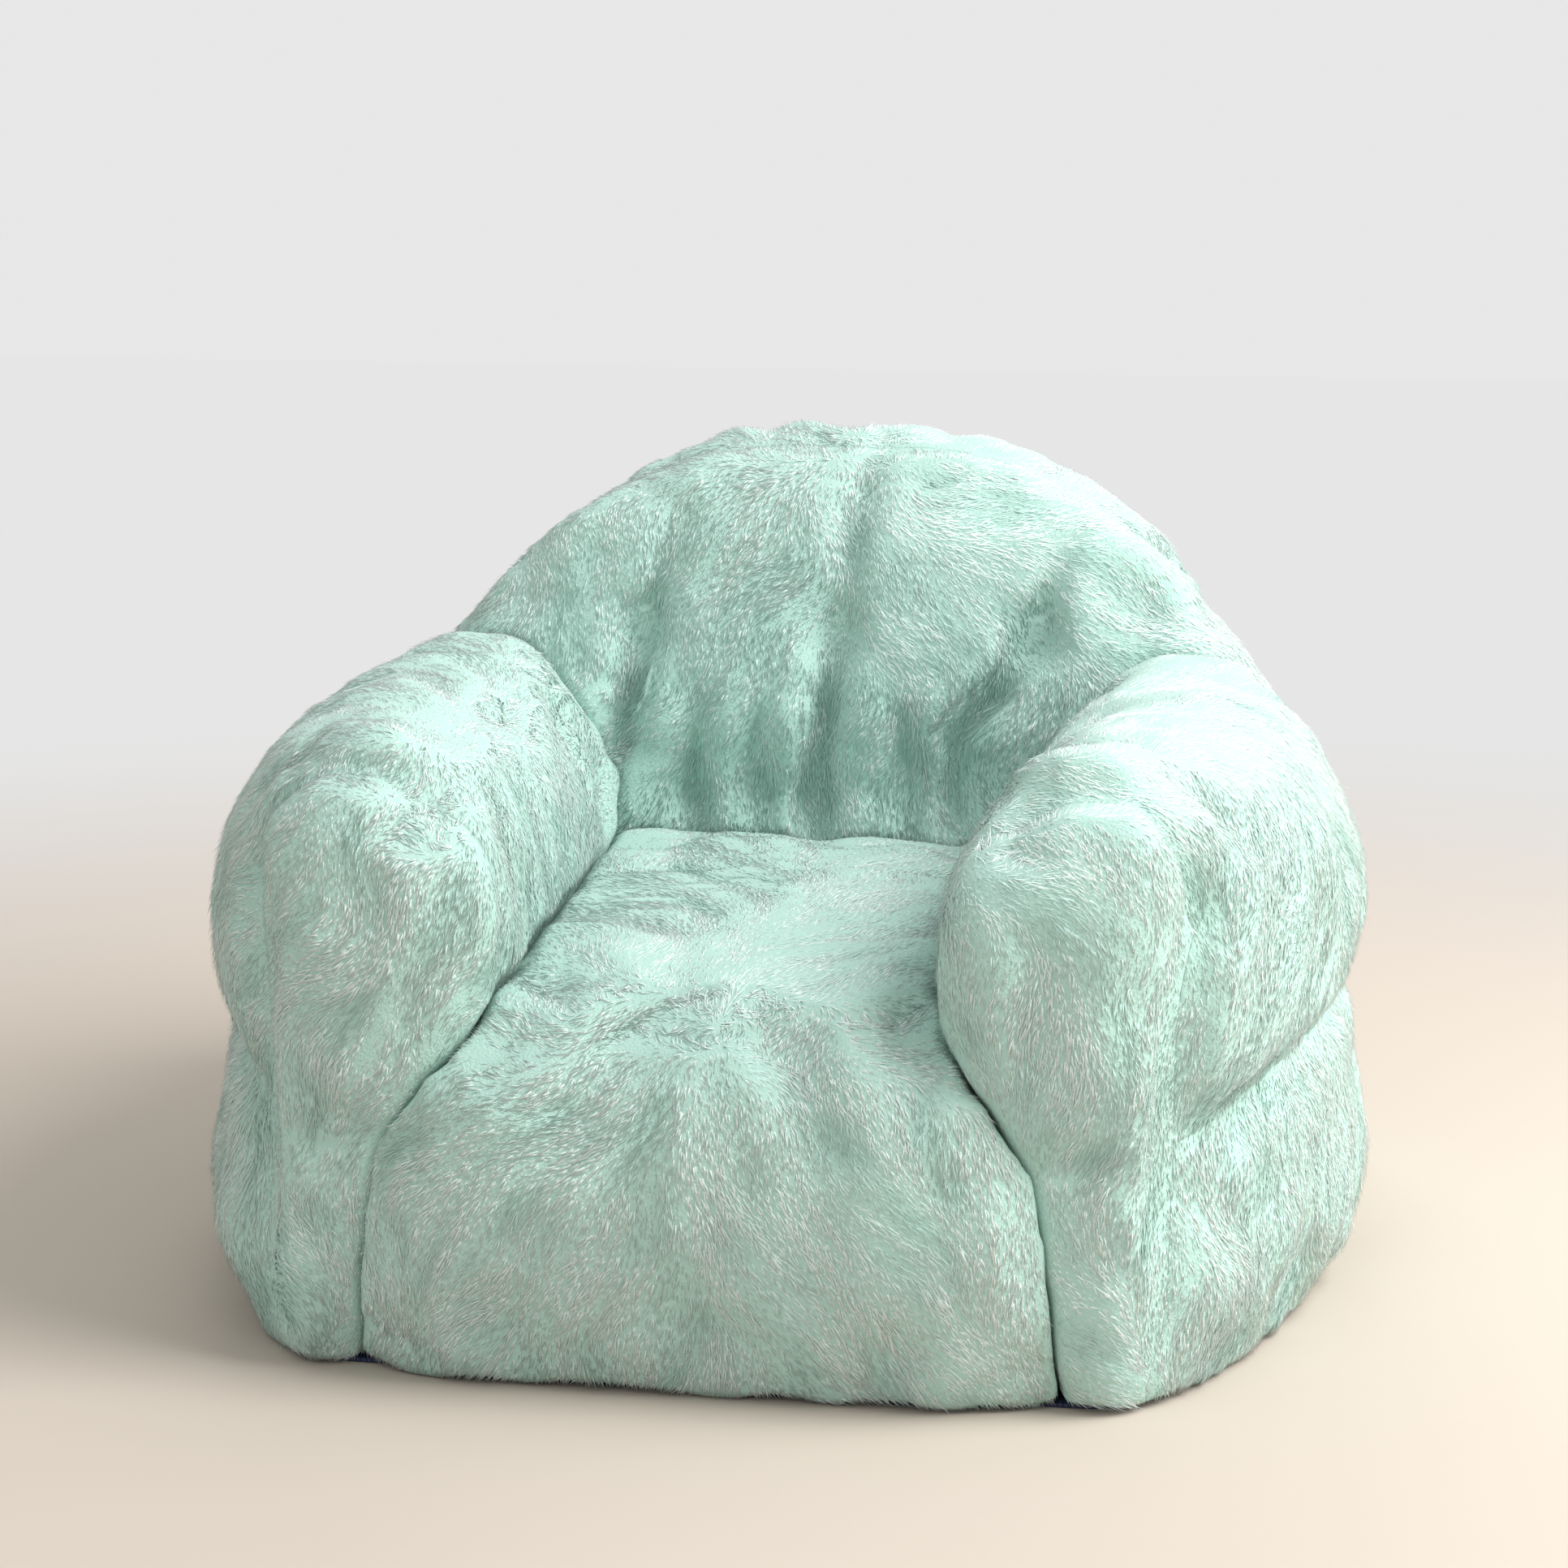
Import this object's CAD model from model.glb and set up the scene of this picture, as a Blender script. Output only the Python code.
"""Bean bag chair in mint plush: four stuffed pillows in a sewn cover with a zip across the rear.

Each pillow is the chair's own foam filling, remeshed, blown up as cloth that is held along its
seams, tufts and places of contact, and cut along the seams into the panels of the cover. Each
panel is a backing cloth with a pile of combed blades standing on it.
"""

import math

import bmesh
import bpy
import numpy as np
from mathutils import Matrix, Vector
from mathutils.bvhtree import BVHTree


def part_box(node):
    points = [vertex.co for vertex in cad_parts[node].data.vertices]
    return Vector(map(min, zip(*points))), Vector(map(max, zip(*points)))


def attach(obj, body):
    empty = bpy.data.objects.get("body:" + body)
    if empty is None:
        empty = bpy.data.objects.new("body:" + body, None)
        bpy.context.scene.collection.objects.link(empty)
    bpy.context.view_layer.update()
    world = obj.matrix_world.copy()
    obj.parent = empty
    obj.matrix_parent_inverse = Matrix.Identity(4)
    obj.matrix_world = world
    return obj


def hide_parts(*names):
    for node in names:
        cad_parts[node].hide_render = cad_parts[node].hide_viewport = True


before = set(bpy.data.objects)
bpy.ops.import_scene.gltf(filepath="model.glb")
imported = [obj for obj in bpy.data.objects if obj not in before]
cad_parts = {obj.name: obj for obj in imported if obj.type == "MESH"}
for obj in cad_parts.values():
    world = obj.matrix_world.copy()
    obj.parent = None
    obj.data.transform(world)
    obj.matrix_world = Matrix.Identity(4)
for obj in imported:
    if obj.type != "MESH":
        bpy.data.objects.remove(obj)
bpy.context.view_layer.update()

MM = 0.001
SEED = 11
BODY = "chair"
FAR = 1.0  # a distance past every limit used here, for what isn't there

# ------------------------------------------------------------------ places from the frame
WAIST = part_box("rear_band")[1][2]  # height of the seam round the sides and the rear
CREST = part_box("rear_band")[0][1]  # plane of the seam over the back
ARM_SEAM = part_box("right_arm_front")[1][1]  # plane of an arm's front seam
ARM_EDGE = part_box("right_side_band")[0][0]  # corner seam of an arm's front panel
TIE_ROUND = 1.5 * MM  # radius of a tuft's tie
TUFT_Z = (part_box("tuft_ties")[0][2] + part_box("tuft_ties")[1][2]) / 2
TUFT_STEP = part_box("tuft_ties")[1][0] - TIE_ROUND
TUFTS = [(step * TUFT_STEP, TUFT_Z) for step in (-1, 0, 1)]
DISC_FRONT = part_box("tuft_front_discs")[0][1]
DISC_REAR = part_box("tuft_rear_discs")[1][1]
ZIP_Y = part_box("zip_slider")[1][1]
ZIP_HALF = 219.5 * MM  # half the length of the zip's opening
ZIP_TALL = 9.0 * MM  # half its height along the tapes
ZIP_ENDS = 211.0 * MM  # where the tapes end, past which it is only as high as the pull tab
TAB_TALL = 5.0 * MM


# ------------------------------------------------------------------ arrays and meshes
def unit(rows):
    return rows / np.maximum(np.linalg.norm(rows, axis=-1, keepdims=True), 1e-12)


def smooth(x, low, high):
    """0 below low, 1 above high and an S curve between them."""
    t = np.clip((x - low) / (high - low), 0, 1)
    return t * t * (3 - 2 * t)


def bell(x, wide):
    """1 at 0 and a bell curve down to 1/e where x is wide."""
    return np.exp(-((x / wide) ** 2))


def read(mesh, name, kind, width):
    values = np.zeros(len(getattr(mesh, kind)) * width, np.float32)
    getattr(mesh, kind).foreach_get(name, values)
    return values.reshape(-1, width).astype(float)


def points(mesh):
    return read(mesh, "co", "vertices", 3)


def normals(mesh):
    return read(mesh, "normal", "vertices", 3)


def centres(mesh):
    return read(mesh, "center", "polygons", 3)


def put(mesh, rows):
    mesh.vertices.foreach_set("co", np.ascontiguousarray(rows, np.float32).ravel())
    mesh.update()


def new_object(name, data):
    piece = bpy.data.objects.new(name, data)
    bpy.context.scene.collection.objects.link(piece)
    return piece


def only_material(mesh, material):
    mesh.materials.clear()
    mesh.materials.append(material)


def evaluated(piece):
    """A new mesh of the piece as its modifiers leave it."""
    graph = bpy.context.evaluated_depsgraph_get()
    return bpy.data.meshes.new_from_object(piece.evaluated_get(graph))


def applied(piece):
    """The piece's mesh with its modifiers applied, which replaces its own mesh."""
    mesh = evaluated(piece)
    piece.modifiers.clear()
    piece.data = mesh
    return mesh


def even_skin(piece, grain):
    """Remeshes a piece as one closed skin of faces of one size."""
    remesh = piece.modifiers.new("even", "REMESH")
    remesh.mode = "VOXEL"
    remesh.voxel_size = grain
    return applied(piece)


def relaxed(mesh, rows, times, share=0.5):
    """Rows of values at the vertices, each time drawn towards the mean of its neighbours."""
    edges = read(mesh, "vertices", "edges", 2).astype(int)
    count = np.bincount(edges.ravel(), minlength=len(rows))[:, None]
    for _ in range(times):
        total = np.zeros_like(rows)
        np.add.at(total, edges[:, 0], rows[edges[:, 1]])
        np.add.at(total, edges[:, 1], rows[edges[:, 0]])
        rows = rows + share * (total / count - rows)
    return rows


def waves(rows, length, seed, count=7):
    """A smooth random field about -1 to 1: a sum of sine waves in random directions."""
    draw = np.random.default_rng(seed)
    ways = unit(draw.normal(size=(count, 3))) * draw.uniform(0.7, 1.5, (count, 1))
    phase = draw.uniform(0, 2 * np.pi, count)
    return np.sin(rows @ ways.T * (2 * np.pi / length) + phase).sum(axis=1) / count**0.5


def tree_of(mesh):
    polygons = [tuple(p.vertices) for p in mesh.polygons]
    return BVHTree.FromPolygons([v.co for v in mesh.vertices], polygons)


def found_on(tree, rows):
    """Each point's nearest point on a surface, the way out there, and how far off that is."""
    found = [tree.find_nearest(Vector(row)) for row in rows.tolist()]
    spot, outward = (np.array([tuple(each[k]) for each in found]) for k in (0, 1))
    return spot, outward, np.array([each[3] for each in found])


def nearest(rows, trees):
    """Each point's nearest point on some surfaces, and how far off that is."""
    away, spot = np.full(len(rows), FAR), rows.copy()
    for tree in trees:
        near, _, far = found_on(tree, rows)
        spot = np.where((far < away)[:, None], near, spot)
        away = np.minimum(away, far)
    return spot, away


def distances(rows, trees):
    """Each point's distance to the nearest of some surfaces, or FAR where there are none."""
    return nearest(rows, trees)[1]


# ------------------------------------------------------------------ shader helpers
def linear(red, green, blue):
    """A colour given as screen values from 0 to 255, as the shader takes it."""
    values = [c / 255 for c in (red, green, blue)]
    return [c / 12.92 if c <= 0.04045 else ((c + 0.055) / 1.055) ** 2.4 for c in values] + [1]


def grey(level):
    return (level, level, level, 1)


def shader(name, roughness, **sockets):
    """A new material and its Principled shader, with the sockets that are the same all over."""
    material = bpy.data.materials.new(name)
    material.use_nodes = True
    principled = material.node_tree.nodes["Principled BSDF"]
    principled.inputs["Roughness"].default_value = roughness
    for socket, value in sockets.items():
        principled.inputs[socket.replace("_", " ")].default_value = value
    return material, material.node_tree, principled


def feed(tree, socket, value):
    """Links an output to a socket, or sets the socket where the value is a number or colour."""
    if hasattr(value, "links"):
        tree.links.new(value, socket)
    else:
        socket.default_value = value


def add(tree, kind, **settings):
    """A new node. Settings that name a socket feed it, and the others are attributes."""
    made = tree.nodes.new("ShaderNode" + kind)
    for name, value in settings.items():
        if name not in made.inputs:
            setattr(made, name, value)
    for name, value in settings.items():
        if name in made.inputs:
            feed(tree, made.inputs[name], value)
    return made


def calculated(tree, operation, *values, **settings):
    """The outcome of a Math node. Each value is a number or an output."""
    made = add(tree, "Math", operation=operation, **settings)
    for socket, value in zip(made.inputs, values):
        feed(tree, socket, value)
    return made.outputs[0]


def object_place(tree):
    return add(tree, "TexCoord").outputs["Object"]


def ramp(tree, source, stops):
    """A colour ramp fed by source. Stops are (place, colour)."""
    made = add(tree, "ValToRGB", Fac=source)
    elements = made.color_ramp.elements
    while len(elements) < len(stops):
        elements.new(0.5)
    for element, (place, colour) in zip(elements, stops):
        element.position = place
        element.color = colour
    return made.outputs["Color"]


def multiplied(tree, first, second):
    """Two colours multiplied."""
    made = add(tree, "Mix", data_type="RGBA", blend_type="MULTIPLY")
    for place, value in ((0, 1.0), (6, first), (7, second)):
        feed(tree, made.inputs[place], value)
    return made.outputs[2]


def mixed_shaders(tree, share, first, second):
    made = add(tree, "MixShader")
    for socket, value in zip(made.inputs, (share, first, second)):
        feed(tree, socket, value)
    return made.outputs[0]


def dented(tree, principled, height, strength, distance, **settings):
    """Dents a material's surface by a height."""
    bump = add(tree, "Bump", Height=height, Strength=strength, Distance=distance, **settings)
    feed(tree, principled.inputs["Normal"], bump.outputs["Normal"])


def group(name, inputs, outputs):
    """A shader node group with those sockets, its tree and its two end nodes."""
    tree = bpy.data.node_groups.new(name, "ShaderNodeTree")
    for socket, value in inputs:
        made = tree.interface.new_socket(socket, in_out="INPUT", socket_type="NodeSocketFloat")
        made.default_value = value
    for socket in outputs:
        tree.interface.new_socket(socket, in_out="OUTPUT", socket_type="NodeSocketFloat")
    return tree, tree.nodes.new("NodeGroupInput"), tree.nodes.new("NodeGroupOutput")


# ------------------------------------------------------------------ camera and light
LENS, SENSOR = 83.9, 36.0  # millimetres
TURN, PITCH, ROLL = 9.9, 11.0, 0.2  # degrees: round to the right, down, and tilted
REACH, ASIDE, EYE = 2.95, -0.009, 0.955  # metres: back from the chair, sideways and up

# Round lamps: place, target, width in metres and power in watts.
LAMPS = {
    "key": ((2.3, -0.5, 2.8), (0.1, 0, 0.3), 2.2, 124),
    "side": ((3.2, 0.1, 1.1), (0.1, 0, 0.3), 1.8, 42),
    "fill": ((-0.6, -3.4, 1.6), (0, 0, 0.3), 2.4, 12),
    "rear_fill": ((-0.8, 3.0, 2.2), (0, 0, 0.3), 2.4, 30),
}
SKY = 0.58  # strength of the even light from all round
SKY_SEEN = 0.80  # grey of the surroundings, as the camera and gloss see them


def make_camera():
    """The camera stands in front, a little to the right of the chair, and looks down at it."""
    turn, pitch, roll = (math.radians(a) for a in (TURN, PITCH, ROLL))
    camera = new_object("camera", bpy.data.cameras.new("camera"))
    camera.data.sensor_width = SENSOR
    camera.data.lens = LENS
    camera.data.clip_end = 60.0
    camera.location = (
        math.sin(turn) * REACH + math.cos(turn) * ASIDE,
        -math.cos(turn) * REACH + math.sin(turn) * ASIDE,
        EYE,
    )
    look = Matrix.Rotation(turn, 3, "Z") @ Matrix.Rotation(math.pi / 2 - pitch, 3, "X")
    camera.rotation_euler = (look @ Matrix.Rotation(roll, 3, "Z")).to_euler()
    bpy.context.scene.camera = camera


def make_light():
    """The lamps, and an even light from all round that looks pale grey from the camera."""
    for name, (place, target, size, power) in LAMPS.items():
        lamp = bpy.data.lights.new(name, "AREA")
        lamp.shape, lamp.size, lamp.energy = "DISK", size, power
        piece = new_object(name, lamp)
        piece.location = place
        way = Vector(target) - Vector(place)
        piece.rotation_euler = way.to_track_quat("-Z", "Y").to_euler()
    world = bpy.data.worlds.new("studio")
    bpy.context.scene.world = world
    world.use_nodes = True
    tree = world.node_tree
    tree.nodes.clear()
    soft = add(tree, "Background", Color=grey(1.0), Strength=SKY)
    seen = add(tree, "Background", Color=grey(SKY_SEEN), Strength=1.0)
    path = add(tree, "LightPath").outputs
    sharp = calculated(tree, "MAXIMUM", path["Is Camera Ray"], path["Is Glossy Ray"])
    mix = mixed_shaders(tree, sharp, soft.outputs[0], seen.outputs[0])
    add(tree, "OutputWorld", Surface=mix)
    bpy.context.scene.view_settings.view_transform = "Standard"


FLOOR_HALF = 9.0
FLOOR = linear(202, 191, 179)
FLOOR_SEEN = linear(230, 230, 230)  # far from the chair, as the camera sees it
FLOOR_FADE = (0.9, 2.6)  # metres from the middle between which it goes over to that


def make_floor():
    """A plain pale floor that fades into the pale surroundings far from the chair."""
    mesh = bpy.data.meshes.new("floor")
    corners = [(x * FLOOR_HALF, y * FLOOR_HALF, 0) for x, y in ((-1, -1), (1, -1), (1, 1), (-1, 1))]
    mesh.from_pydata(corners, [], [(0, 1, 2, 3)])
    floor = new_object("floor", mesh)
    material, tree, principled = shader("pale_floor", 0.9, Specular_IOR_Level=0.1)
    principled.inputs["Base Color"].default_value = FLOOR
    far = add(tree, "VectorMath", operation="LENGTH")
    feed(tree, far.inputs[0], object_place(tree))
    limits = dict(zip(("From Min", "From Max"), FLOOR_FADE))
    fade = add(
        tree, "MapRange", interpolation_type="SMOOTHSTEP", Value=far.outputs["Value"], **limits
    )
    path = add(tree, "LightPath").outputs
    share = calculated(tree, "MULTIPLY", fade.outputs[0], path["Is Camera Ray"])
    glow = add(tree, "Emission", Color=FLOOR_SEEN)
    mix = mixed_shaders(tree, share, principled.outputs[0], glow.outputs[0])
    feed(tree, tree.nodes["Material Output"].inputs["Surface"], mix)
    mesh.materials.append(material)


# ------------------------------------------------------------------ materials
MINT_DEEP = linear(134, 180, 165)
MINT_MID = linear(198, 229, 220)
MINT_PALE = linear(234, 248, 244)
MINT_CLOTH = linear(176, 210, 199)  # the backing under the pile
ROOT_SHADE = 0.90  # of a blade's colour at its root
CLOTH_WAVE = 0.159  # scale of a wave texture whose period is two threads, times the pitch


def pile_material():
    """The pile's blades, from deep mint in the hollows to pale on the brushed streaks.

    The ramp reads 0.45 + 0.55 times the blade's own tone, and the root is a little darker.
    """
    material, tree, principled = shader(
        "mint_plush_pile", 0.92, Sheen_Weight=0.12, Sheen_Roughness=0.5, Specular_IOR_Level=0.12
    )
    tone = add(tree, "Attribute", attribute_name="tone").outputs["Fac"]
    along = add(tree, "Attribute", attribute_name="along").outputs["Fac"]
    streak = calculated(tree, "MULTIPLY_ADD", tone, 0.55, 0.45)
    body = ramp(tree, streak, [(0.2, MINT_DEEP), (0.5, MINT_MID), (0.8, MINT_PALE)])
    depth = ramp(tree, along, [(0.0, grey(ROOT_SHADE)), (0.5, grey(1.0))])
    feed(tree, principled.inputs["Base Color"], multiplied(tree, body, depth))
    return material


def backing_material():
    """The backing under the pile, in the pile's own mint, with a fine knit."""
    material, tree, principled = shader(
        "mint_plush_backing", 0.95, Sheen_Weight=0.2, Specular_IOR_Level=0.1
    )
    principled.inputs["Base Color"].default_value = MINT_CLOTH
    knit = add(tree, "TexNoise", Vector=object_place(tree), Scale=420.0, Detail=2.0)
    dented(tree, principled, knit.outputs["Fac"], 0.5, 2 * MM)
    return material


def cloth_material(name, dark, light, pitch):
    """Woven cloth: two crossed waves of the thread's pitch, and a slow stain of noise."""
    material, tree, principled = shader(name, 0.9, Specular_IOR_Level=0.2)
    place = object_place(tree)
    threads = [
        add(
            tree,
            "TexWave",
            Vector=place,
            Scale=CLOTH_WAVE / pitch,
            Distortion=0.4,
            bands_direction=direction,
        ).outputs["Fac"]
        for direction in ("X", "Z")
    ]
    weave = calculated(tree, "MULTIPLY", *threads)
    stain = add(tree, "TexNoise", Vector=place, Scale=14.0, Detail=4.0)
    body = ramp(tree, weave, [(0.0, dark), (0.7, light)])
    veil = ramp(tree, stain.outputs["Fac"], [(0.3, grey(0.8)), (0.7, grey(1.0))])
    feed(tree, principled.inputs["Base Color"], multiplied(tree, body, veil))
    dented(tree, principled, weave, 0.6, 0.8 * MM)
    return material


def rubbed_edges():
    """Group: how far a surface is rubbed bright. Fine scratches, stronger where noise is high."""
    tree, given, out = group("rubbed", [("Scratches", 900.0), ("Amount", 0.5)], ["Mask", "Height"])
    place = object_place(tree)
    stretch = add(tree, "Mapping", Vector=place, Scale=(0.12, 1.0, 1.0))
    scratch = add(
        tree,
        "TexNoise",
        Vector=stretch.outputs[0],
        Scale=given.outputs["Scratches"],
        Detail=3.0,
    )
    worn = add(tree, "TexNoise", Vector=place, Scale=160.0, Detail=4.0)
    both = calculated(tree, "MULTIPLY", scratch.outputs["Fac"], worn.outputs["Fac"])
    mask = calculated(tree, "MULTIPLY", both, given.outputs["Amount"], use_clamp=True)
    feed(tree, out.inputs["Mask"], mask)
    feed(tree, out.inputs["Height"], scratch.outputs["Fac"])
    return tree


RUBBED = rubbed_edges()
RUBBED_GLOSS = 0.12  # how much smoother the rubbed places are, and rougher the others


def hard_material(name, dark, light, roughness, scratches, amount, depth, **sockets):
    """Metal or moulded nylon: the rubbed group picks the colour and roughness and dents it."""
    material, tree, principled = shader(name, roughness, **sockets)
    rubbed = tree.nodes.new("ShaderNodeGroup")
    rubbed.node_tree = RUBBED
    rubbed.inputs["Scratches"].default_value = scratches
    rubbed.inputs["Amount"].default_value = amount
    mask = rubbed.outputs["Mask"]
    feed(tree, principled.inputs["Base Color"], ramp(tree, mask, [(0.15, dark), (0.6, light)]))
    limits = {"To Min": roughness + RUBBED_GLOSS, "To Max": roughness - RUBBED_GLOSS}
    rough = add(tree, "MapRange", Value=mask, **limits)
    feed(tree, principled.inputs["Roughness"], rough.outputs[0])
    dented(tree, principled, rubbed.outputs["Height"], 0.4, depth)
    return material


def foam_material():
    """Shredded foam: rounded crumbs from the cells of a Voronoi pattern, in creams."""
    material, tree, principled = shader("shredded_foam", 0.95, Specular_IOR_Level=0.15)
    crumbs = add(tree, "TexVoronoi", Vector=object_place(tree), Scale=75.0)
    distance = crumbs.outputs["Distance"]
    creams = [(0.0, linear(238, 230, 204)), (0.8, linear(176, 162, 128))]
    feed(tree, principled.inputs["Base Color"], ramp(tree, distance, creams))
    dented(tree, principled, distance, 0.8, 4 * MM, invert=True)
    return material


def dress_hardware():
    """Finishes of the zip and the tufts, which keep the shapes of the construction model."""
    tape = cloth_material("zip_tape_twill", linear(126, 158, 148), linear(164, 194, 184), 0.8 * MM)
    thread = cloth_material("tuft_cord", linear(176, 186, 180), linear(222, 228, 222), 0.7 * MM)
    coil = hard_material(
        "zip_coil_nylon", linear(120, 150, 141), linear(178, 204, 196), 0.42, 1400.0, 1.6, 0.1 * MM
    )
    disc = hard_material(
        "tuft_disc_nylon", linear(196, 204, 198), linear(228, 232, 226), 0.45, 700.0, 1.5, 0.1 * MM
    )
    metal = hard_material(
        "zip_nickel",
        linear(138, 138, 136),
        linear(206, 205, 200),
        0.34,
        1800.0,
        1.8,
        0.05 * MM,
        Metallic=1.0,
    )
    finishes = (
        (tape, ("zip_tape_lower", "zip_tape_upper")),
        (coil, ("zip_coil_lower", "zip_coil_upper")),
        (metal, ("zip_bottom_stop", "zip_top_stops", "zip_slider", "zip_pull")),
        (thread, ("tuft_ties",)),
        (disc, ("tuft_front_discs", "tuft_rear_discs")),
    )
    for material, nodes in finishes:
        for node in nodes:
            only_material(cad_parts[node].data, material)


# ------------------------------------------------------------------ seams and creases
FLOOR_GAP = 7.5 * MM  # a pillow has no panel below this height, where the base cloth is


def waist_height(rows):
    """The waist seam's height: level round the rear, and sloping down to an arm's front."""
    rise = smooth(rows[:, 1], -0.42, 0.05) * smooth(-rows[:, 1], -0.27, -0.1)
    return WAIST + 26 * MM * rise - 20 * MM * smooth(-rows[:, 1], 0.2, 0.42)


def edge_place(rows):
    """How far from the middle an arm's corner seam is: out at the roll, in at the waist."""
    z = rows[:, 2]
    return ARM_EDGE + 18 * MM * bell(z - 0.40, 0.07) - 14 * MM * (1 - smooth(z, 0.0, 0.09))


def seam_distance(pillow, rows):
    """Each point's distance to the nearest seam within its pillow."""
    x, y, z = np.abs(rows[:, 0]), rows[:, 1], rows[:, 2]
    if pillow == "seat":
        return np.full(len(rows), FAR)
    if pillow == "back":
        rear = np.where((y > CREST) & (x >= ZIP_HALF), np.abs(z - WAIST), FAR)
        return np.minimum(np.abs(y - CREST), rear)
    front = np.maximum(y - ARM_SEAM, x - edge_place(rows))
    side = np.where(x > edge_place(rows), np.abs(z - waist_height(rows)), FAR)
    inner = 12 * MM * (1 - smooth(x, 0.19, 0.24))
    return np.minimum(np.abs(front) + inner, side)


# Creases of the inner back panel, in millimetres: the points of each line as (x, z, depth), and
# its half width. The first three lead down through the tufts.
BACK_CREASES = [
    ([(20, 612, 2), (10, 545, 8), (0, 478, 3), (-8, 415, 20), (-14, 330, 17), (-16, 280, 9)], 17),
    ([(-175, 478, 3), (-181, 425, 19), (-190, 370, 14), (-196, 330, 4)], 17),
    ([(175, 478, 3), (142, 428, 19), (106, 388, 17), (100, 320, 10)], 17),
    ([(-175, 478, 3), (-162, 515, 8), (-150, 560, 2)], 16),
    ([(175, 478, 3), (186, 515, 7), (196, 550, 1)], 16),
    ([(-118, 430, 2), (-127, 360, 14), (-120, 290, 12)], 16),
    ([(58, 430, 2), (74, 360, 14), (70, 290, 12)], 16),
    ([(-66, 420, 1), (-64, 350, 10), (-62, 290, 9)], 15),
]


def line_distance(rows, line):
    """Each point's distance to a bent line, and how far along it that is, from 0 to 1."""
    best = np.full(len(rows), FAR)
    along = np.zeros(len(rows))
    for k, (a, b) in enumerate(zip(line[:-1], line[1:])):
        t = np.clip(((rows - a) @ (b - a)) / ((b - a) @ (b - a)), 0, 1)
        away = np.linalg.norm(rows - a - t[:, None] * (b - a), axis=1)
        nearer = away < best
        best = np.where(nearer, away, best)
        along = np.where(nearer, (k + t) / (len(line) - 1), along)
    return best, along


def creased(pillow, rows, outward):
    """How deep the creases of a pillow press in at each point: a bell across each line."""
    deep = np.zeros(len(rows))
    if pillow != "back":
        return deep
    for line, wide in BACK_CREASES:
        line = np.array(line, float) * MM
        away, along = line_distance(rows[:, [0, 2]], line[:, :2])
        depth = np.interp(along, np.linspace(0, 1, len(line)), line[:, 2])
        deep = np.maximum(deep, depth * bell(away, wide * MM))
    return deep * smooth(-outward[:, 1], 0.25, 0.6)


def tuft_distance(rows):
    """Each point's distance to the nearest tuft's tie, which runs from front to rear."""
    return np.min([np.linalg.norm(rows[:, [0, 2]] - tuft, axis=1) for tuft in TUFTS], axis=0)


def beside_zip(rows):
    """1 next to the zip's opening, where the pile is short and parted, and 0 away from it."""
    near = 1 - smooth(np.abs(rows[:, 2] - WAIST), 24 * MM, 50 * MM)
    near *= 1 - smooth(np.abs(rows[:, 0]), ZIP_HALF + 6 * MM, ZIP_HALF + 32 * MM)
    return near * (rows[:, 1] > CREST)


# ------------------------------------------------------------------ the lie of the pile
def combed(rows, outward):
    """The way the pile lies, and how firmly: near 0 it stands in a whorl.

    It lies down and forwards over each surface and backwards on top, turned by slow swirls.
    """
    top = smooth(outward[:, 2], 0.62, 0.92)
    aside = np.tanh(rows[:, 0] / 0.12) * (0.2 + 0.5 * np.maximum(outward[:, 2], 0))
    base = np.stack([aside, -0.42 + 1.15 * top, np.full(len(rows), -0.85)], 1)
    parted = beside_zip(rows)
    away = np.stack([0 * top, 0 * top, np.sign(rows[:, 2] - WAIST)], 1)
    base += (away - base) * parted[:, None]
    flat = base - outward * np.sum(base * outward, axis=1, keepdims=True)
    firm, lie = np.linalg.norm(flat, axis=1), unit(flat)
    turn = 0.46 * waves(rows, 0.34, SEED) + 0.34 * waves(rows, 0.13, SEED + 1)
    turn *= 1 - parted
    across = np.cross(outward, lie)
    return unit(lie * np.cos(turn)[:, None] + across * np.sin(turn)[:, None]), firm


def brushed(rows, lie, length, seed):
    """A wave field drawn out along the lie of the pile: its mean over a short run of it."""
    steps = np.linspace(-0.6, 0.6, 7) * length
    return sum(waves(rows + lie * step, length, seed) for step in steps) / len(steps)


def speckle(rows, cell, seed):
    """A number from 0 to 1 for each small cube of space, which looks random."""
    cubes = np.floor(rows / cell) @ np.array([127.1, 311.7, 74.7]) + seed
    return np.modf(np.abs(np.sin(cubes) * 43758.5453))[0]


def streaks(rows, lie, cell, reach, seed):
    """Streaks along the lie of the pile: speckle averaged over a short run, about -2 to 2."""
    steps = np.linspace(-reach, reach, 9)
    total = sum(speckle(rows + lie * step, cell, seed) for step in steps)
    return (total / len(steps) - 0.5) / 0.11


# ------------------------------------------------------------------ pillows
FILLS = ("back_fill", "right_arm_fill", "left_arm_fill", "seat_fill")
LEANS_ON = {
    "back": [],
    "right_arm": ["back"],
    "left_arm": ["back"],
    "seat": ["back", "right_arm", "left_arm"],
}
GRAIN = 12.0 * MM  # size of the cloth's faces while it is blown up
BLOWN = 7.0 * MM  # the most that a point of a pillow may move as it is blown up
PLUMP = 6.5 * MM  # from the filling out to the backing of the cover
SEWN = 11.0 * MM  # by which a seam pulls in below the filling's surface
BACK_SEWN = 0.4  # of that for the back's seams
SLID = 3.0 * MM  # the most that it may slide along the surface
HAIR = 1.6 * MM  # half of what is left between two pillows that touch
FOLD = 7.0 * MM  # the most that a fold stands out of the pillow's round or sinks in it
DEEPER = 0.35  # of a crease's depth, pressed in again after the cloth
FRAMES = 20
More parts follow.
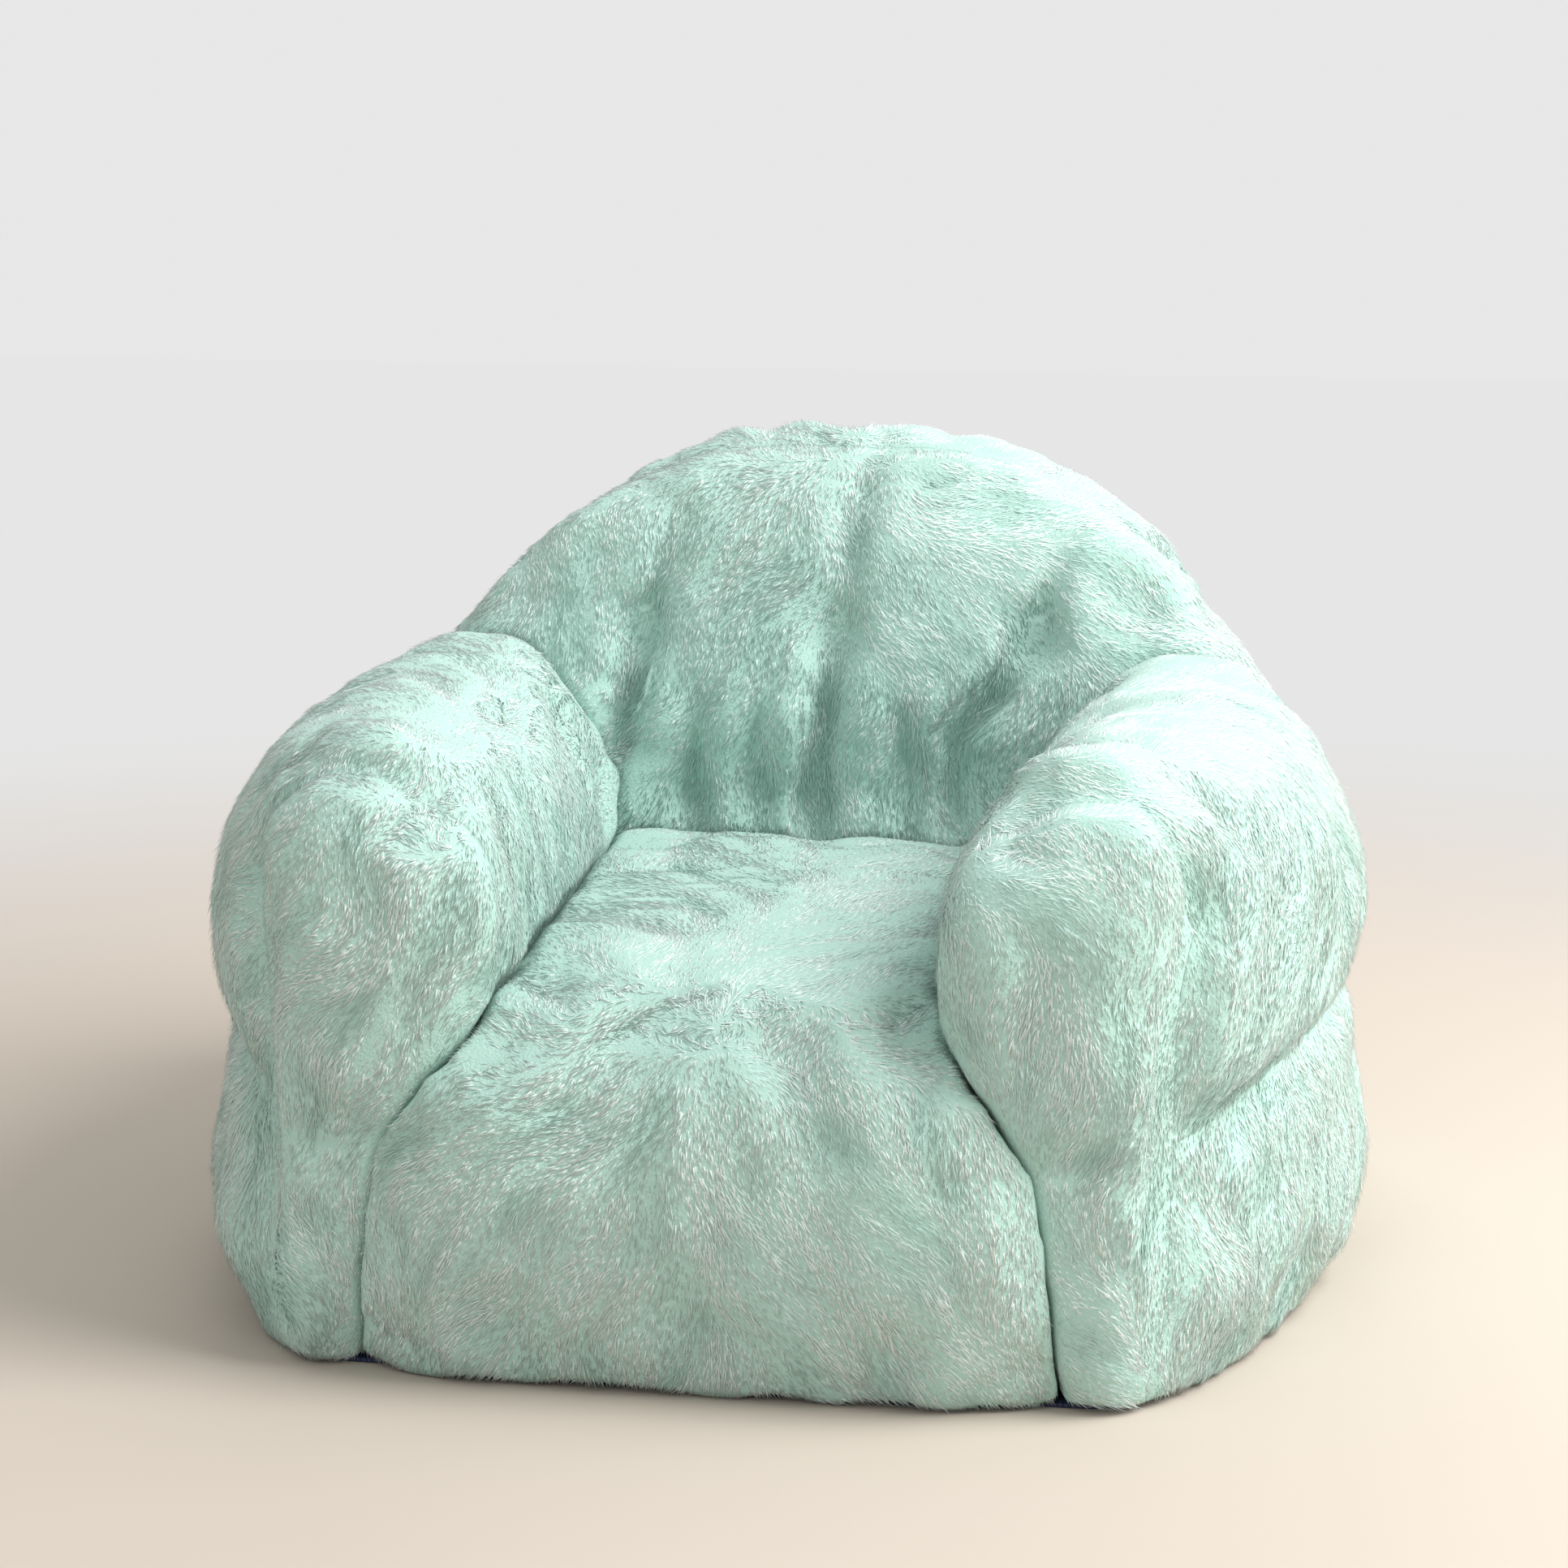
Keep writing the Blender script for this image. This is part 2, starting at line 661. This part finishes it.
STUFFING = {
    "quality": 5,
    "mass": 0.4,
    "tension_stiffness": 30,
    "compression_stiffness": 30,
    "shear_stiffness": 8,
    "bending_stiffness": 2.0,
    "use_pressure": True,
    "uniform_pressure_force": 1.5,
    "shrink_min": -0.05,
}


def plain_pillow(fill):
    """A copy of a foam filling as one even closed skin."""
    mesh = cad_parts[fill].data.copy()
    form = bmesh.new()
    form.from_mesh(mesh)
    bmesh.ops.remove_doubles(form, verts=form.verts, dist=1e-5)
    form.to_mesh(mesh)
    form.free()
    mesh.materials.clear()
    piece = new_object(fill.replace("_fill", "_pillow"), mesh)
    mesh = even_skin(piece, GRAIN)
    put(mesh, relaxed(mesh, points(mesh), 2, 0.4))
    return piece


def rounded_front(rows):
    """The seat with its front drawn in 15 mm at the lower side edges, and out 6 mm elsewhere."""
    low = 1 - smooth(rows[:, 2], 0.22, 0.30)
    edge = smooth(np.abs(rows[:, 0]), 0.17, 0.29) * low
    rows[:, 1] += (15 * edge - 6 * (1 - edge)) * MM * smooth(-rows[:, 1], 0.33, 0.40)
    return rows


def held_points(pillow, rows, gap, seam, deep):
    """How firmly each point is held: 1 at contacts, the floor, seams and tufts, less in creases."""
    held = 1 - smooth(gap, 17 * MM, 26 * MM)
    held = np.maximum(held, 1 - smooth(rows[:, 2], 9 * MM, 22 * MM))
    held = np.maximum(held, 1 - smooth(seam, 5 * MM, 13 * MM))
    held = np.maximum(held, 0.8 * smooth(deep, 5 * MM, 11 * MM))
    if pillow == "back":
        tufted = 1 - smooth(tuft_distance(rows), 15 * MM, 30 * MM)
        held = np.maximum(held, np.where(rows[:, 1] < CREST, tufted, 0))
    return held


def blown(piece, start, held):
    """How far each point moves as the piece is blown up as cloth, pinned by its held share."""
    pinned = piece.vertex_groups.new(name="held")
    for level in range(1, 11):
        chosen = np.flatnonzero(np.round(held * 10) == level)
        pinned.add(chosen.tolist(), level / 10, "REPLACE")
    cloth = piece.modifiers.new("stuffing", "CLOTH")
    cloth.settings.vertex_group_mass = "held"
    for name, value in STUFFING.items():
        setattr(cloth.settings, name, value)
    cloth.settings.effector_weights.gravity = 0
    cloth.collision_settings.use_collision = False
    cloth.point_cache.frame_start = 1
    cloth.point_cache.frame_end = FRAMES
    scene = bpy.context.scene
    for number in range(1, FRAMES + 1):
        scene.frame_set(number)
    done = evaluated(piece)
    moved = points(done) - start
    piece.modifiers.clear()
    piece.vertex_groups.clear()
    bpy.data.meshes.remove(done)
    scene.frame_set(1)
    return moved


def blow_up(pillow, piece, gap):
    """Blows a pillow up as cloth and keeps its folds, its even swelling and its seams in limits.

    A point moves out by half its neighbourhood's swelling, plus its own fold, plus the plump of
    the stuffing. A bell across each seam takes that plump away and pulls the seam in.
    """
    mesh = piece.data
    start, outward = points(mesh), normals(mesh)
    if pillow == "seat":
        start = rounded_front(start)
    deep = creased(pillow, start, outward)
    start = start - outward * deep[:, None]
    put(mesh, start)
    seam = seam_distance(pillow, start)
    moved = blown(piece, start, held_points(pillow, start, gap, seam, deep))
    room = np.minimum(BLOWN, np.maximum(gap - 15 * MM, 0) * 0.5)[:, None]
    outward = normals(mesh)
    lifted = np.sum(moved * outward, axis=1)[:, None]
    slid = moved - lifted * outward
    far = np.linalg.norm(slid, axis=1)[:, None]
    slid *= np.minimum(1, SLID / np.maximum(far, 1e-9))
    swell = relaxed(mesh, lifted, 30)
    folds = np.clip(lifted - swell, -FOLD, FOLD)
    lifted = np.minimum(np.maximum(swell, 0) * 0.5, room) + folds
    lifted = np.minimum(lifted, room + 0.3 * FOLD)
    sewn = bell(seam, 14 * MM)
    pull = SEWN * (BACK_SEWN if pillow == "back" else 1) * smooth(start[:, 2], 15 * MM, 70 * MM)
    lifted[:, 0] += (PLUMP - (PLUMP + pull) * sewn) * smooth(gap, 15 * MM, 26 * MM)
    put(mesh, start + relaxed(mesh, slid + lifted * outward, 2, 0.5))
    finer = piece.modifiers.new("finer", "SUBSURF")
    finer.levels = finer.render_levels = 1
    mesh = applied(piece)
    rows, outward = points(mesh), normals(mesh)
    put(mesh, rows - DEEPER * outward * creased(pillow, rows, outward)[:, None])


def finish_skins(pillows):
    """Closes the gaps between pillows and gives their skins the relief of brushed pile.

    Near another pillow, a point goes half way to it, less a hair. Elsewhere it moves along its
    normal by two wave fields drawn out along the lie of the pile.
    """
    skins = {name: tree_of(piece.data) for name, piece in pillows.items()}
    done = {}
    for name, piece in pillows.items():
        mesh = piece.data
        rows, outward = points(mesh), normals(mesh)
        spot, away = nearest(rows, [skin for other, skin in skins.items() if other != name])
        step = np.maximum(away / 2 - HAIR, 0) * (1 - smooth(away, 24 * MM, 42 * MM))
        moved = relaxed(mesh, unit(spot - rows) * step[:, None], 2)
        lie, _ = combed(rows, outward)
        relief = 3.4 * MM * brushed(rows, lie, 0.085, SEED + 21)
        relief += 1.9 * MM * brushed(rows, lie, 0.042, SEED + 22)
        calm = smooth(away, 20 * MM, 45 * MM) * smooth(rows[:, 2], 12 * MM, 50 * MM)
        calm *= smooth(seam_distance(name.split("_")[-1], rows), 3 * MM, 22 * MM)
        calm *= 1 - beside_zip(rows)
        done[name] = rows + moved + outward * (relief * calm)[:, None]
    for name, piece in pillows.items():
        put(piece.data, done[name])


# ------------------------------------------------------------------ fitting round the hardware
FACE_HEIGHTS = np.array([0.30, 0.39, 0.48, 0.56, 0.62])  # along the tufted face, and its
FACE_PLACES = np.array([0.183, 0.185, 0.199, 0.225, 0.249])  # places in y at those heights
OVER_DISC = 5 * MM  # from a tuft's disc out to the middle of the cloth over it
ZIP_SUNK = 1.3 * MM  # of the cloth under the slider's outer face


def tufted_face(mesh, rows, y):
    """The face between the arms: a profile up its height, creases, a bell at each tuft, folds.

    Over the discs it is held in front of them.
    """
    away = tuft_distance(rows)
    cover = DISC_FRONT - OVER_DISC
    hollow = cover - np.interp(TUFT_Z, FACE_HEIGHTS, FACE_PLACES)
    face = np.interp(rows[:, 2], FACE_HEIGHTS, FACE_PLACES)
    face += 1.1 * creased("back", rows, normals(mesh)) + hollow * bell(away, 25 * MM)
    face += 0.75 * (y - relaxed(mesh, y[:, None], 30)[:, 0])
    return np.minimum(face, cover + 20 * MM * smooth(away, 13 * MM, 34 * MM))


def fit_back(mesh):
    """Clears the tufts' discs, which the cloth hides, and lies flat over the zip's tapes."""
    rows = points(mesh)
    across, y, z = np.abs(rows[:, 0]), rows[:, 1], rows[:, 2]
    rear = smooth(y, 0.34, 0.38)
    band = (1 - smooth(across, 0.21, 0.30)) * (y < CREST - 40 * MM)
    band *= smooth(z, 0.33, 0.41) * (1 - smooth(z, 0.54, 0.62))
    y = y + (tufted_face(mesh, rows, y) - y) * band
    over = DISC_REAR + OVER_DISC
    raised = (1 - smooth(tuft_distance(rows), 17 * MM, 40 * MM)) * rear
    y = np.where(y < over, y + (over - y) * raised, y)
    beside = 1 - smooth(across, ZIP_HALF + 8 * MM, ZIP_HALF + 40 * MM)
    near = 1 - smooth(np.abs(z - WAIST), 21 * MM, 46 * MM)
    rows[:, 1] = y + (ZIP_Y - ZIP_SUNK - y) * beside * near * rear
    put(mesh, rows)


def sunk(rows, skin, deep):
    """Points moved so that each lies at least so deep inside a skin."""
    for _ in range(5):
        spot, outward, _ = found_on(skin, rows)
        under = np.sum((spot - rows) * outward, axis=1)
        rows = rows - outward * np.maximum(deep - under, 0)[:, None]
    return rows


# ------------------------------------------------------------------ panels
def bisected(mesh, axis, place, offset=None, keep=None):
    """Cuts edges where a coordinate, less its offset, equals place. keep picks the faces."""
    rows = points(mesh)
    shift = offset(rows) if offset else 0
    rows[:, axis] -= shift
    put(mesh, rows)
    form = bmesh.new()
    form.from_mesh(mesh)
    faces = [f for f in form.faces if keep is None or keep(f.calc_center_median())]
    parts = list({v for f in faces for v in f.verts}) + list({e for f in faces for e in f.edges})
    point, way = Vector((0, 0, 0)), Vector((0, 0, 0))
    point[axis], way[axis] = place, 1
    bmesh.ops.bisect_plane(form, geom=parts + faces, dist=2e-5, plane_co=point, plane_no=way)
    form.to_mesh(mesh)
    form.free()
    if offset:
        rows = points(mesh)
        rows[:, axis] += offset(rows)
        put(mesh, rows)


def part_of(mesh, chosen, name):
    """A new mesh of the chosen faces."""
    form = bmesh.new()
    form.from_mesh(mesh)
    form.faces.ensure_lookup_table()
    dropped = [form.faces[k] for k in np.flatnonzero(~chosen)]
    bmesh.ops.delete(form, geom=dropped, context="FACES")
    made = bpy.data.meshes.new(name)
    form.to_mesh(made)
    form.free()
    return made


def back_panels(mesh):
    """The back's faces by panel, cut at the crest, at the waist and round the zip's opening."""
    rear_face = 0.38
    bisected(mesh, 1, CREST)
    bisected(mesh, 2, WAIST, keep=lambda c: c.y > CREST - 1 * MM)
    for sign in (-1, 1):
        for reach, tall in ((ZIP_HALF, TAB_TALL), (ZIP_ENDS, ZIP_TALL)):
            bisected(mesh, 0, sign * reach, keep=lambda c: c.y > rear_face)
            bisected(mesh, 2, WAIST + sign * tall, keep=lambda c: c.y > rear_face)
    c = centres(mesh)
    along, high = np.abs(c[:, 0]), np.abs(c[:, 2] - WAIST)
    window = (along < ZIP_ENDS) & (high < ZIP_TALL)
    window |= (along < ZIP_HALF) & (high < TAB_TALL)
    window &= c[:, 1] > rear_face
    up = c[:, 2] > FLOOR_GAP
    rear = (c[:, 1] > CREST) & ~window & up
    return {
        "inner_back_panel": (c[:, 1] <= CREST) & up,
        "outer_back_panel": rear & (c[:, 2] > WAIST),
        "rear_band": rear & (c[:, 2] <= WAIST),
    }


def arm_panels(name, mesh):
    """An arm's faces by panel, cut at the front seam, the corner seam and the waist seam."""
    side = -1 if name.startswith("left") else 1
    bisected(mesh, 1, ARM_SEAM)
    bisected(mesh, 0, side * ARM_EDGE, lambda r: side * (edge_place(r) - ARM_EDGE))
    bisected(mesh, 2, WAIST, lambda r: waist_height(r) - WAIST)
    c = centres(mesh)
    up = c[:, 2] > FLOOR_GAP
    out = side * c[:, 0] > edge_place(c)
    front = (c[:, 1] < ARM_SEAM) & ~out
    band = out & (c[:, 2] < waist_height(c))
    return {
        f"{name}_front": front & up,
        f"{name}_roll": ~front & ~band & up,
        name.replace("_arm", "_side_band"): band & up,
    }


def panels_of(name, mesh):
    """The faces of each panel of a pillow, by the CAD node that the panel stands for."""
    if name == "seat":
        return {"seat_panel": centres(mesh)[:, 2] > FLOOR_GAP}
    return back_panels(mesh) if name == "back" else arm_panels(name, mesh)


# ------------------------------------------------------------------ pile
DENSITY = 104e3  # blades a square metre
MOST_BLADES = 49500
BLADE = 12.8 * MM
BLADE_WIDE = 1.6 * MM
ROOTED = 0.6 * MM  # of a blade's root under the face of the cloth
OFF_FLOOR = 0.8 * MM  # the least height of a blade's tip
# A blade's corners are the two at its root, its ridge and its tip.
BLADE_FACES = np.array([[2, 0, 3], [1, 2, 3], [0, 1, 3], [1, 0, 2]])
BLADE_ALONG = [0.0, 0.0, 0.1, 1.0]
BLADE_MAP = np.array([[0.1, 0.1], [0.9, 0.1], [0.5, 0.2], [0.5, 0.9]])


def boundary(mesh):
    """The points on the cut edges of an open mesh."""
    loops = read(mesh, "edge_index", "loops", 1)[:, 0].astype(int)
    single = np.bincount(loops, minlength=len(mesh.edges)) == 1
    return np.unique(read(mesh, "vertices", "edges", 2).astype(int)[single])


def hollows(mesh, corners):
    """How hollow a mesh is at each point: 1 over the hollow's radius, below 0 on a round."""
    rows, outward = points(mesh), normals(mesh)
    pitch = np.median(np.linalg.norm(rows[corners[:, 1]] - rows[corners[:, 0]], axis=1))
    around = relaxed(mesh, rows, 1, 1.0) - rows
    curve = 2 * np.sum(around * outward, axis=1) / pitch**2
    curve[boundary(mesh)] = 0
    return np.clip(relaxed(mesh, curve[:, None], 2)[:, 0], -30, 70)


def scattered(rows, corners, touching, draw):
    """Random places on triangles that no pillow touches: the corners of each, and their shares."""
    a, b, c = (rows[corners[:, k]] for k in range(3))
    area = np.linalg.norm(np.cross(b - a, c - a), axis=1) / 2
    area *= touching[corners].mean(axis=1) < 0.9
    total = area.sum()
    count = int(min(total * DENSITY, MOST_BLADES))
    places = (np.arange(count) + draw.random(count)) / count * total
    face = np.minimum(np.searchsorted(np.cumsum(area), places), len(area) - 1)
    u, v = draw.random((2, count))
    flip = u + v > 1
    u, v = np.where(flip, 1 - u, u), np.where(flip, 1 - v, v)
    return corners[face], np.stack([1 - u - v, u, v], 1)[:, :, None]


def blade_mesh(name, corners, tone):
    """One mesh of slim tetrahedra, with a tone, a place along the blade and a map for baking."""
    count = len(tone)
    loops = (np.arange(count)[:, None, None] * 4 + BLADE_FACES).reshape(-1)
    made = bpy.data.meshes.new(name)
    made.vertices.add(count * 4)
    made.loops.add(len(loops))
    made.polygons.add(count * 4)
    made.loops.foreach_set("vertex_index", loops.astype(np.int32))
    made.polygons.foreach_set("loop_start", np.arange(0, count * 12, 3, dtype=np.int32))
    put(made, np.stack(corners, 1).reshape(-1, 3))
    made.update(calc_edges=True)
    for key, values in (("tone", np.repeat(tone, 4)), ("along", np.tile(BLADE_ALONG, count))):
        layer = made.attributes.new(key, "FLOAT", "POINT")
        layer.data.foreach_set("value", values.astype(np.float32))
    side = math.ceil(count**0.5)
    cell = np.arange(count)
    spot = np.stack([cell % side, cell // side], 1) / side
    maps = (spot[:, None, :] + BLADE_MAP / side).reshape(-1, 2)[loops]
    layer = made.uv_layers.new(name="OFBake")
    layer.uv.foreach_set("vector", maps.reshape(-1).astype(np.float32))
    return made


def pile_on(mesh, name, gap, seam, touching):
    """Blades of pile on a panel, from the gap and the seam's distance at each of its points.

    The pile lies flatter on top, stands in whorls and hollows, and is short at seams, at the
    zip, at tufts and near another pillow. It is paler on top and at the right, and deeper in
    hollows and round the tufts.
    """
    draw = np.random.default_rng(sum(map(ord, name)))
    mesh.calc_loop_triangles()
    corners = read(mesh, "vertices", "loop_triangles", 3).astype(int)
    rows = points(mesh)
    fields = np.column_stack([gap, seam, hollows(mesh, corners)])
    at, shares = scattered(rows, corners, touching, draw)
    count = len(at)
    root = (rows[at] * shares).sum(axis=1)
    up = unit((normals(mesh)[at] * shares).sum(axis=1))
    room, sewn, hollow = (fields[at] * shares).sum(axis=1).T
    front = root[:, 1] < CREST
    tufted = tuft_distance(root)
    lie, firm = combed(root, up)
    whorl = 1 - smooth(firm, 0.08, 0.38)
    clump = streaks(root, lie, 8 * MM, 26 * MM, 3.1)
    fine = streaks(root, lie, 3.2 * MM, 12 * MM, 7.7)

    lift = 0.20 + 0.05 * clump + 0.05 * waves(root, 0.16, SEED + 5) + draw.normal(0, 0.04, count)
    lift = np.clip(lift, 0.07, 0.6) + 0.15 * (draw.random(count) < 0.05)
    lift *= 1 - 0.5 * smooth(up[:, 2], 0.5, 0.85)
    lift = np.clip(lift + 0.5 * BLADE * hollow, 0.05, 0.9) + 0.3 * whorl
    sway = draw.normal(0, 1, count) * (0.20 + 0.6 * whorl)
    way = unit(lie + np.cross(up, lie) * sway[:, None])
    across = np.cross(up, way)

    long = BLADE * (1 + 0.12 * clump + draw.normal(0, 0.12, count))
    long *= 0.62 + 0.38 * smooth(sewn, 1 * MM, 13 * MM)
    long *= 1 - 0.5 * beside_zip(root)
    long *= 1 - 0.45 * (1 - smooth(tufted, 8 * MM, 34 * MM)) * front
    long *= 0.55 + 0.45 * smooth(room, 3 * MM, 15 * MM)
    wide = BLADE_WIDE * draw.uniform(0.7, 1.2, count) / 2
    reach = way * np.cos(lift)[:, None] + up * np.sin(lift)[:, None]
    base = root - up * ROOTED
    tip = base + reach * long[:, None]
    tip[:, 2] = np.maximum(tip[:, 2], OFF_FLOOR)
    ridge = base + np.cross(reach, across) * (0.35 * wide)[:, None] + reach * MM
    aside = across * wide[:, None]

    tone = 0.44 + 0.06 * clump + 0.04 * fine + draw.normal(0, 0.02, count)
    tone += 0.54 * brushed(root, lie, 0.085, SEED + 9)
    tone += 0.30 * brushed(root, lie, 0.034, SEED + 10)
    tone += 0.22 * smooth(up[:, 2], 0.3, 0.9) + 0.10 * smooth(up[:, 0], 0.2, 0.9)
    tone -= 0.009 * np.clip(hollow, -8, 34) + 0.25 * bell(tufted, 20 * MM) * front
    return blade_mesh(name, [base - aside, base + aside, ridge, tip], np.clip(tone, 0, 1))


# ------------------------------------------------------------------ the chair's pieces
HEM_TOP = 16 * MM  # below this height a panel is drawn down to its hem
TOUCHING = 5 * MM  # two pillows nearer than this have no pile between them
CLOTH = 3.4 * MM  # thickness of a panel's backing
INNER_GRAIN = 10 * MM
INNER_SKINS = (("liner", 14 * MM), ("fill", 18 * MM))  # how deep each is inside its pillow


def hemmed(mesh):
    """Draws the lowest strip of a panel down to an uneven hem just over the floor."""
    rows = points(mesh)
    low = np.clip(4 * MM + 3 * MM * waves(rows, 0.09, SEED + 30), 1.5 * MM, 7 * MM)
    fall = np.maximum(rows[:, 2] - FLOOR_GAP, 0) / (HEM_TOP - FLOOR_GAP)
    rows[:, 2] = np.where(rows[:, 2] < HEM_TOP, low + fall * (HEM_TOP - low), rows[:, 2])
    put(mesh, rows)
    return rows


def make_panel(pillow, node, mesh, others):
    """A panel of the cover: its backing cloth, and the pile that moves with it."""
    rows = hemmed(mesh)
    gap = distances(rows, others)
    seam = seam_distance(pillow, rows)
    touching = relaxed(mesh, (gap < TOUCHING)[:, None].astype(float), 4)[:, 0]
    pile = new_object(f"{node}_pile", pile_on(mesh, f"{node}_pile", gap, seam, touching))
    only_material(pile.data, PILE)
    panel = new_object(f"{node}_backing", mesh)
    only_material(mesh, BACKING)
    mesh.polygons.foreach_set("use_smooth", [True] * len(mesh.polygons))
    wall = panel.modifiers.new("cloth", "SOLIDIFY")
    wall.thickness = CLOTH
    wall.offset = -1
    pile.parent = panel
    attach(panel, BODY)
    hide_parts(node)


def make_inside(name, mesh):
    """The liner and the foam in a pillow, each a closed skin at its own depth in it."""
    skin = tree_of(mesh)
    for layer, deep in INNER_SKINS:
        inner = new_object(f"{name}_{layer}_inside", mesh.copy())
        inside = even_skin(inner, INNER_GRAIN)
        put(inside, sunk(points(inside), skin, deep))
        only_material(inside, FOAM if layer == "fill" else LINER)
        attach(inner, BODY)
        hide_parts(f"{name}_{layer}")


FEET = 14 * MM  # what is lower than this stands on the base cloth
BASE_TURNS, BASE_RINGS = 180, 24
BASE_TOP, BASE_LOW = 3.6 * MM, 0.4 * MM
DRAWN_IN = 17 * MM  # from the outline of the feet in to the base cloth's edge


def make_base(rows):
    """The non-slip cloth underneath: rings of the outline of what stands on it, drawn inwards.

    The outline is the farthest foot of the pillows in each direction from the middle.
    """
    turns, count = BASE_TURNS, BASE_TURNS * BASE_RINGS
    angle = np.arctan2(rows[:, 1], rows[:, 0]) % (2 * np.pi)
    far = np.zeros(turns)
    np.maximum.at(far, (angle / (2 * np.pi) * turns).astype(int) % turns, np.hypot(*rows[:, :2].T))
    for _ in range(2):
        far = (np.roll(far, 1) + 2 * far + np.roll(far, -1)) / 4
    spread = far - DRAWN_IN
    turn = (np.arange(turns) + 0.5) / turns * 2 * np.pi
    sheet = np.stack([np.cos(turn), np.sin(turn)], 1) * spread[:, None]
    share = np.linspace(1, 0, BASE_RINGS + 1)[:-1]
    flat = (sheet[None] * share[:, None, None]).reshape(-1, 2)
    quilt = 0.3 * MM * np.sin(flat[:, 0] / (9 * MM)) * np.sin(flat[:, 1] / (9 * MM))
    upper = np.column_stack([flat, BASE_TOP + quilt])
    lower = np.column_stack([flat, np.full(count, BASE_LOW)])
    verts = np.vstack([upper, lower, [[0, 0, BASE_TOP], [0, 0, BASE_LOW]]])

    k, j = np.meshgrid(np.arange(BASE_RINGS - 1), np.arange(turns), indexing="ij")
    a, b = k * turns + j, k * turns + (j + 1) % turns
    tops = np.stack([a, b, b + turns, a + turns], -1).reshape(-1, 4)
    edge = np.arange(turns)
    after = (edge + 1) % turns
    rim = np.stack([edge + count, after + count, after, edge], -1)
    quads = np.vstack([tops, tops[:, ::-1] + count, rim]).tolist()
    last = count - turns
    hub = np.column_stack([last + edge, last + after, np.full(turns, 2 * count)])
    under = np.column_stack([after, edge, np.full(turns, count + 1 - last)]) + last + count
    mesh = bpy.data.meshes.new("base_cloth")
    mesh.from_pydata(verts.tolist(), [], quads + hub.tolist() + under.tolist())
    base = new_object("base_cloth", mesh)
    dark, light = linear(38, 44, 66), linear(66, 74, 100)
    only_material(mesh, cloth_material("non_slip_base", dark, light, 2.2 * MM))
    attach(base, BODY)
    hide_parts("base_panel")


# ------------------------------------------------------------------ the chair
pillows = {fill.replace("_fill", ""): plain_pillow(fill) for fill in FILLS}
plain = {name: tree_of(piece.data) for name, piece in pillows.items()}
for name, piece in pillows.items():
    under = [plain[other] for other in LEANS_ON[name]]
    blow_up(name.split("_")[-1], piece, distances(points(piece.data), under))
finish_skins(pillows)
fit_back(pillows["back"].data)

make_camera()
make_light()
PILE = pile_material()
BACKING = backing_material()
FOAM = foam_material()
dress_hardware()
LINER = cloth_material("liner_cloth", linear(196, 192, 182), linear(226, 222, 212), 0.9 * MM)

skins = {name: tree_of(piece.data) for name, piece in pillows.items()}
for name, piece in pillows.items():
    others = [skin for other, skin in skins.items() if other != name]
    for node, chosen in panels_of(name, piece.data).items():
        panel_mesh = part_of(piece.data, chosen, f"{node}_backing")
        make_panel(name.split("_")[-1], node, panel_mesh, others)
    make_inside(name, piece.data)
feet = np.vstack([points(piece.data) for piece in pillows.values()])
make_base(feet[feet[:, 2] < FEET])
for piece in pillows.values():
    bpy.data.objects.remove(piece)
make_floor()
